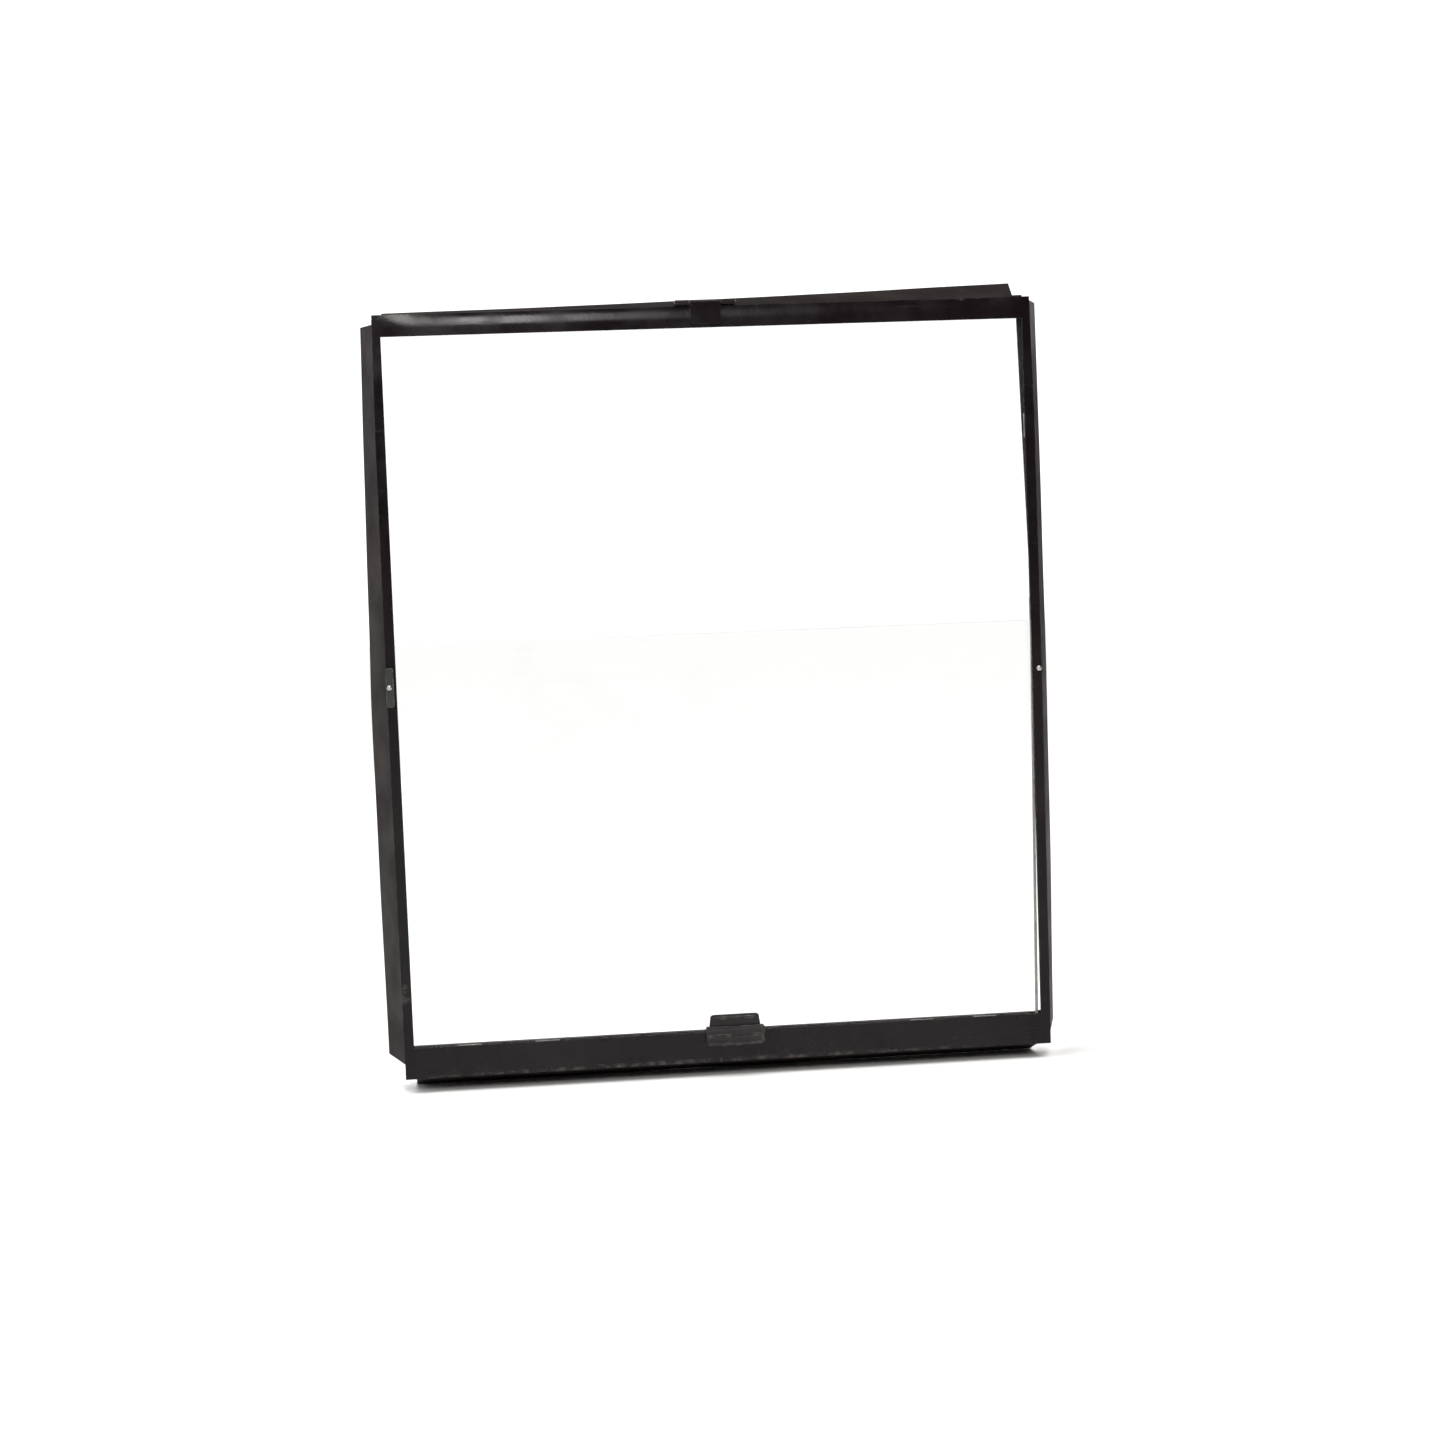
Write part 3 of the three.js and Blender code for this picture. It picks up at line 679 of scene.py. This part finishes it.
def skirt_stations(side, count):
    """Front and rear outer corners of a skirt, at evenly spaced stations, read off its CAD solid."""
    corners = [world_to_side(side, vert.co) for vert in NODES[f"rear_skirt_{side}"].data.vertices]
    front_y = min(corner[1] for corner in corners)
    rear_y = max(corner[1] for corner in corners)

    def outer_edge(depth):
        furthest = {}
        for corner in corners:
            key = round(corner[2] / (0.5 * MM))
            if abs(corner[1] - depth) < SAME_PLACE and corner[0] > furthest.get(key, (0,))[0]:
                furthest[key] = corner
        return [Vector(furthest[key]) for key in sorted(furthest)]

    return list(zip(resampled(outer_edge(front_y), count), resampled(outer_edge(rear_y), count)))


def build_skirt(side):
    """Skirt and return lip as the one folded strip that they are made from."""
    stations = []
    for front, rear in skirt_stations(side, 40):
        wave = SKIRT["unevenness"] * noise.noise(Vector((rear.z * 28, 3.1 * len(side), 0)))
        fold = (rear.x + wave, REAR_PLANE, rear.z)
        lip_end = (rear.x - SKIRT["lip_reach"], REAR_PLANE, rear.z)
        stations.append((tuple(front), fold, lip_end))
    bm = folded_sheet(stations, -SKIRT["thick"], SKIRT["fold"], side_to_world(side))
    return make_piece(
        f"skirt_{side}", bm, "rear_leaf", ["skirt_paint"],
        [f"rear_skirt_{side}", f"rear_lip_{side}"],
    )


def build_ledge(side):
    node = f"rear_ledge_{side}"
    bm = cad_copy(node)
    soften(bm, LEDGE_EDGE, angle=50, segments=2)
    slice_up(bm, 2 if side in UPRIGHT_SIDES else 0, LEDGE_SLICE)
    hand_bend(bm, LEDGE_BEND)
    return refined(node, f"ledge_{side}", bm)


def build_solder(side):
    """Lumpy beads in the corner behind the ledge, where it was soldered to the skirt."""
    to_world = side_to_world(side)
    ledge_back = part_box(f"rear_ledge_{side}")[1].y
    bead_y = ledge_back + SOLDER_BEAD["behind"]
    bead_stations, spacing = 5, 9
    bm = bmesh.new()
    stations = skirt_stations(side, 44)
    for start in range(3, 40, spacing):
        run = []
        for front, rear in stations[start : start + bead_stations]:
            share = (ledge_back - front.y) / (rear.y - front.y)
            on_skirt = front.lerp(rear, share)
            run.append(to_world((on_skirt.x - SOLDER_BEAD["from_skirt"], bead_y, on_skirt.z)))
        smooth_run = resampled(run, (len(run) - 1) * 4)
        tube(bm, smooth_run, SOLDER_BEAD["radius"], 10, lumps=SOLDER_BEAD["lumps"])
    return make_piece(f"solder_{side}", bm, "rear_leaf", ["solder"], smooth=60)


def blob_profile(size):
    """Half of an ellipse, from a little below the plate to the blob's top."""
    steps = 6
    profile = [(0, -SOLDER_ROOT)]
    for i in range(steps):
        angle = i / steps * QUARTER_TURN
        profile.append((size * math.cos(angle), SOLDER_HEIGHT * math.sin(angle)))
    return profile + [(0, SOLDER_HEIGHT)]


def jitter(point):
    """A small push in each direction, from -1 to 1, that depends on place alone."""
    return Vector([noise.noise(point + Vector((shift, 0, 0))) for shift in (0.0, 31.4, 77.7)])


def build_corner_plate(corner):
    node = f"corner_plate_{corner}"
    bm = cad_copy(node)
    soften(bm, 0.16 * MM, angle=50, segments=2)
    refined(node, f"corner_{corner}", bm)

    low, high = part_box(node)
    outer_x, inwards_x = (low.x, 1) if "left" in corner else (high.x, -1)
    outer_z, inwards_z = (high.z, -1) if "top" in corner else (low.z, 1)
    solder = bmesh.new()
    for from_x, from_z, size in SOLDER_BLOBS:
        middle = Vector((
            outer_x + inwards_x * from_x,
            high.y - SOLDER_ROOT,
            outer_z + inwards_z * from_z,
        ))
        lathe(solder, blob_profile(size), middle, (0, 1, 0), 24)
    for vert in solder.verts:
        vert.co += SOLDER_LUMPS * jitter(vert.co * 700)
    make_piece(f"solder_{corner}", solder, "rear_leaf", ["solder"], smooth=60)


# ---------------------------------------------------------------- panes and clips

PANE_CHAMFER = 0.95 * MM
PANE_ARRIS = 0.2 * MM
CLIP = {"thick": 0.4 * MM, "fold": 0.6 * MM, "edge": 0.08 * MM}


def grind_right_edge(bm, front, beyond):
    """Grinds a broad chamfer along the leaning part of a pane's right edge, and narrow ones elsewhere."""
    def is_leaning(edge):
        first, second = (vert.co for vert in edge.verts)
        at_front = abs(first.y - front) < SAME_PLACE and abs(second.y - front) < SAME_PLACE
        leans = abs(first.x - second.x) > 1.5 * MM
        return at_front and leans and min(first.x, second.x) > beyond

    # The broad chamfer carries the ground edges' grey-brown, a painted shade strip inside the right rail.
    soften(bm, PANE_CHAMFER, angle=20, segments=1, where=is_leaning)
    soften(bm, PANE_ARRIS, angle=46, segments=2)


def build_pane(node, name):
    """The polished faces and the ground edges have a material each."""
    bm = cad_copy(node)
    low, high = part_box(node)
    grind_right_edge(bm, low.y, high.x - 4 * MM)
    bmesh.ops.recalc_face_normals(bm, faces=bm.faces)
    for face in bm.faces:
        face.material_index = 0 if abs(face.normal.y) > 0.999 else 1
    pane = make_piece(
        name, bm, BODIES[node], ["clear_glass", "ground_edge"], [node], smooth=15,
        weighted=False,
    )
    pane.visible_shadow = False
    return pane


def build_clip(node):
    """A tab bent from steel strip: a leg outside the pane and a foot that laps its face."""
    side = node.split("_")[3]
    corners = [world_to_side(side, vert.co) for vert in NODES[node].data.vertices]
    low = [min(corner[i] for corner in corners) for i in range(3)]
    high = [max(corner[i] for corner in corners) for i in range(3)]
    in_front = node.startswith("rear")
    foot_y, leg_y = (low[1], high[1]) if in_front else (high[1], low[1])
    thick = CLIP["thick"] if in_front else -CLIP["thick"]
    steps = 8
    stations = []
    for i in range(steps + 1):
        along = low[2] + (high[2] - low[2]) * i / steps
        stations.append([(high[0], leg_y, along), (high[0], foot_y, along), (low[0], foot_y, along)])
    bm = folded_sheet(stations, thick, CLIP["fold"], side_to_world(side), edge=CLIP["edge"])
    return make_piece(
        node.replace("glass_clip", "clip"), bm, BODIES[node], ["clip_steel"], [node]
    )


# ---------------------------------------------------------------- front leaf

FACE_EDGE = 0.28 * MM
FACE_SLICE = 7 * MM
# How far in from the ring's outer edge it is dressed round, and how deep.
DRESSING = {
    "face_upper_half": (4.6 * MM, 0.80 * MM),
    "face_lower_half": (1.9 * MM, 0.50 * MM),
}
DRESSED_HALF_WIDTH = 103 * MM
DRESSING_FADE = 4 * MM
RIVET = {"head_high": 0.55 * MM, "flange": 0.04 * MM, "shank": 0.45 * MM, "tail": 0.32 * MM}


def dress_edge(bm, front, back, outer_z, reach, depth):
    """Curves the front back towards the outer edge, as if hammered round, but not at the corners."""
    for vert in bm.verts:
        from_edge = abs(vert.co.z - outer_z)
        share = max(0, 1 - from_edge / reach) ** 2
        middle = min(1, max(0, (DRESSED_HALF_WIDTH - abs(vert.co.x)) / DRESSING_FADE))
        vert.co.y += depth * share * middle * (back - vert.co.y) / (back - front)


def build_face(node, name):
    """A half of the face ring. Its outer edge is dressed round, and its other edges are just broken."""
    bm = cad_copy(node)
    low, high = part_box(node)
    outer_z, inwards = (high.z, -1) if node == "face_upper_half" else (low.z, 1)
    reach, depth = DRESSING[node]
    steps = 8
    soften(bm, FACE_EDGE, angle=50)
    slice_up(bm, 0, FACE_SLICE)
    slice_up(bm, 2, FACE_SLICE)
    for step in range(1, steps + 1):
        cut_across(bm, 2, outer_z + inwards * reach * step / steps)
    dress_edge(bm, low.y, high.y, outer_z, reach, depth)
    hand_bend(bm)
    return refined(node, name, bm)


def build_splice_plate():
    node = "splice_plate_left"
    bm = cad_copy(node)
    low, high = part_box(node)

    def is_corner(edge):
        first, second = (vert.co for vert in edge.verts)
        through = abs(first.y - second.y) > 0.3 * MM
        at_end = abs(abs(first.z - (low.z + high.z) / 2) - (high.z - low.z) / 2) < SAME_PLACE
        return through and at_end

    soften(bm, 0.6 * MM, angle=50, segments=4, where=is_corner)
    soften(bm, 0.14 * MM, angle=50)
    hand_bend(bm)
    return refined(node, "splice_plate", bm)


def build_rivet(side):
    """Domed head, flattened a little by the hammer, with a thin flange, on a plain shank."""
    node = f"side_rivet_{side}"
    low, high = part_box(node)
    head = (high.x - low.x) / 2
    head_high, shank = RIVET["head_high"], RIVET["shank"]
    seat = low.y + head_high
    through = high.y - seat
    steps = 12
    profile = [(0, -head_high)]
    for i in range(1, steps + 1):
        angle = i / steps * QUARTER_TURN
        radius = head * 0.97 * math.sin(angle) ** 0.9
        profile.append((radius, -head_high * math.cos(angle) ** 1.35))
    profile += [(head, -RIVET["flange"]), (head, 0), (shank, 0), (shank, through)]
    profile += [(shank * 1.7, through), (shank * 1.5, through + 0.25 * MM)]
    profile += [(0, through + RIVET["tail"])]
    centre = Vector(((low.x + high.x) / 2, seat, (low.z + high.z) / 2))
    bm = bmesh.new()
    lathe(bm, profile, centre, (0, 1, 0), 48)
    hand_bend(bm)
    return refined(node, f"rivet_{side}", bm, smooth=50)


# ---------------------------------------------------------------- hinge

PIN = {"head": 0.7 * MM, "shank": 0.4 * MM, "head_thick": 0.45 * MM, "crown": 0.75}


def build_hinge_leaf(node, name):
    bm = cad_copy(node)
    soften(bm, 0.1 * MM, angle=40, segments=2)
    hand_bend(bm)
    return refined(node, name, bm, smooth=38)


def build_hinge_pin():
    """A wire with a crowned head at each end."""
    node = "hinge_pin"
    low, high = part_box(node)
    half = (high.x - low.x) / 2
    head, shank, head_thick = PIN["head"], PIN["shank"], PIN["head_thick"]
    steps = 6
    profile = [(0, -half)]
    for i in range(1, steps + 1):
        angle = i / steps * QUARTER_TURN
        crown = head_thick * PIN["crown"] * (1 - math.cos(angle))
        profile.append((head * math.sin(angle), -half + crown))
    profile += [(head, -half + head_thick), (shank, -half + head_thick)]
    profile += [(radius, -height) for radius, height in reversed(profile)]
    bm = bmesh.new()
    lathe(bm, profile, (low + high) / 2, (1, 0, 0), 32)
    hand_bend(bm)
    return make_piece(
        "hinge_wire", bm, BODIES[node], ["dull_steel"], [node], smooth=50
    )


# ---------------------------------------------------------------- slide catch

BEAD = {
    "radius": 0.46 * MM,
    "corner": 1.5 * MM,
    "left_inset": 0.5 * MM,
    "top_inset": 0.9 * MM,
    "depth": 0.35 * MM,
    "set_back": 0.15 * MM,
    "squash": 0.9,
}


def build_catch_plate():
    node = "catch_guide"
    bm = cad_copy(node)
    soften(bm, 0.2 * MM, angle=40)
    hand_bend(bm)
    return refined(node, "catch_plate", bm, smooth=50)


def build_catch_lip():
    """A bead along the plate's bottom edge, which turns up its right side."""
    low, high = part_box("catch_guide")
    radius, corner = BEAD["radius"], BEAD["corner"]
    front = low.y + BEAD["depth"]
    bottom = low.z + radius
    start = Vector((low.x + BEAD["left_inset"], front, bottom))
    turn = Vector((high.x - corner, front, bottom))
    long_steps, corner_steps = 24, 8
    route = [start.lerp(turn, i / long_steps) for i in range(long_steps + 1)]
    for i in range(1, corner_steps + 1):
        angle = i / corner_steps * QUARTER_TURN
        rise = Vector((
            (corner - radius) * math.sin(angle),
            0,
            corner * (1 - math.cos(angle)),
        ))
        route.append(turn + rise)
    foot = route[-1].copy()
    top = Vector((foot.x, front + BEAD["set_back"], high.z - BEAD["top_inset"]))
    route += [foot.lerp(top, i / corner_steps) for i in range(1, corner_steps + 1)]
    bm = bmesh.new()
    tube(bm, route, radius, 14, squash=BEAD["squash"])
    hand_bend(bm)
    return make_piece("catch_lip", bm, "front_leaf", ["catch_paint"], smooth=60)


def build_catch_tab():
    node = "catch_slider"
    bm = cad_copy(node)
    soften(bm, 0.16 * MM, angle=40)
    hand_bend(bm)
    return refined(node, "catch_tab", bm, smooth=50)


def build_keeper():
    node = "catch_keeper"
    bm = cad_copy(node)
    soften(bm, 0.12 * MM, angle=50, segments=2)
    return refined(node, "keeper", bm)


# ---------------------------------------------------------------- the object

for side_name in SIDES:
    build_skirt(side_name)
    build_ledge(side_name)
    build_solder(side_name)
for corner_name in CORNERS:
    build_corner_plate(corner_name)
build_pane("rear_glass", "pane_rear")
build_pane("front_glass", "pane_front")
for node_name in sorted(NODES):
    if "_glass_clip_" in node_name:
        build_clip(node_name)
build_face("face_upper_half", "face_upper")
build_face("face_lower_half", "face_lower")
build_splice_plate()
for side_name in UPRIGHT_SIDES:
    build_rivet(side_name)
build_hinge_leaf("hinge_front_strap", "hinge_strap")
build_hinge_leaf("hinge_rear_leaf", "hinge_leaf")
build_hinge_pin()
build_catch_plate()
build_catch_lip()
build_catch_tab()
build_keeper()


# ---------------------------------------------------------------- floor, light and camera

WARM_WHITE = (1, 0.985, 0.96)
WARM = (1, 0.93, 0.86)
WHITE = (1, 1, 1)


def build_floor():
    bm = bmesh.new()
    bmesh.ops.create_grid(bm, x_segments=8, y_segments=8, size=4)
    mesh = bpy.data.meshes.new("floor")
    bm.to_mesh(mesh)
    bm.free()
    mesh.materials.append(pale_floor("floor"))
    floor = bpy.data.objects.new("floor", mesh)
    floor.location.z = cad_box[0].z
    bpy.context.scene.collection.objects.link(floor)


def build_world():
    """White to the eye, straight or through the panes, and dimmer where it lights the black paint."""
    world = bpy.data.worlds.new("studio")
    bpy.context.scene.world = world
    world.use_nodes = True
    tree = world.node_tree
    tree.nodes.clear()
    rays = add(tree, "LightPath")
    direct = combined(
        tree, "MAXIMUM", rays.outputs["Is Camera Ray"], rays.outputs["Is Transmission Ray"]
    )
    bounces = plus(tree, rays.outputs["Glossy Depth"], rays.outputs["Diffuse Depth"])
    seen = times(tree, direct, combined(tree, "LESS_THAN", bounces, 0.5))
    dim = add(tree, "Background", {"Color": (0.93, 0.95, 1.0, 1), "Strength": 0.11})
    white = add(tree, "Background", {"Color": (*WHITE, 1), "Strength": 1.35})
    mix = add(tree, "MixShader", {0: seen, 1: dim.outputs[0], 2: white.outputs[0]})
    output = add(tree, "OutputWorld")
    tree.links.new(mix.outputs[0], output.inputs["Surface"])


def soft_light(name, at, towards, size, watts, colour=WHITE):
    data = bpy.data.lights.new(name, "AREA")
    data.shape = "RECTANGLE"
    data.size, data.size_y = size
    data.energy = watts
    data.color = colour
    lamp = bpy.data.objects.new(name, data)
    lamp.location = at
    aim = Vector(towards) - Vector(at)
    lamp.rotation_euler = aim.to_track_quat("-Z", "Y").to_euler()
    lamp.visible_camera = False
    lamp.visible_transmission = False
    bpy.context.scene.collection.objects.link(lamp)


def build_sun():
    data = bpy.data.lights.new("daylight", "SUN")
    data.energy = 3.7
    data.angle = math.radians(60)
    sun = bpy.data.objects.new("daylight", data)
    sun.rotation_euler = (math.radians(12), math.radians(-8), 0)
    bpy.context.scene.collection.objects.link(sun)


def build_lights():
    """A broad soft sun for the floor, and soft boxes for the highlights on the paint."""
    build_sun()
    soft_light("rail_light", (-0.07, -0.95, 0.62), (-0.07, 0, 0.256), (0.17, 0.34), 4.2, WARM_WHITE)
    soft_light("left", (-1.3, -0.2, 0.5), (0, 0, 0.17), (0.7, 0.8), 4.6)
    soft_light("right", (0.62, 1.1, 0.38), (0.115, 0, 0.23), (0.3, 0.25), 0.7, WARM)
    soft_light("rear", (-0.3, 1.3, 0.35), (0, 0, 0.12), (1.2, 0.5), 2)


def build_camera():
    """Seen from a little to the left and above, with the frame tipped a little anticlockwise."""
    azimuth, elevation, tip = (math.radians(a) for a in (-6.03, 3.98, -2.14))
    distance = 0.944
    target = Vector((0.95 * MM, FACE_FRONT, 120.1 * MM))
    away = Vector((
        math.sin(azimuth) * math.cos(elevation),
        -math.cos(azimuth) * math.cos(elevation),
        math.sin(elevation),
    ))
    right = (-away).cross(Vector((0, 0, 1))).normalized()
    up = right.cross(-away)
    x_axis = right * math.cos(tip) + up * math.sin(tip)
    y_axis = up * math.cos(tip) - right * math.sin(tip)
    data = bpy.data.cameras.new("camera")
    data.lens = 70
    data.clip_end = 30
    camera = bpy.data.objects.new("camera", data)
    turn = Matrix((x_axis, y_axis, away)).transposed().to_4x4()
    camera.matrix_world = Matrix.Translation(target + away * distance) @ turn
    bpy.context.scene.collection.objects.link(camera)
    bpy.context.scene.camera = camera


build_floor()
build_world()
build_lights()
build_camera()
bpy.context.scene.view_settings.view_transform = "Standard"
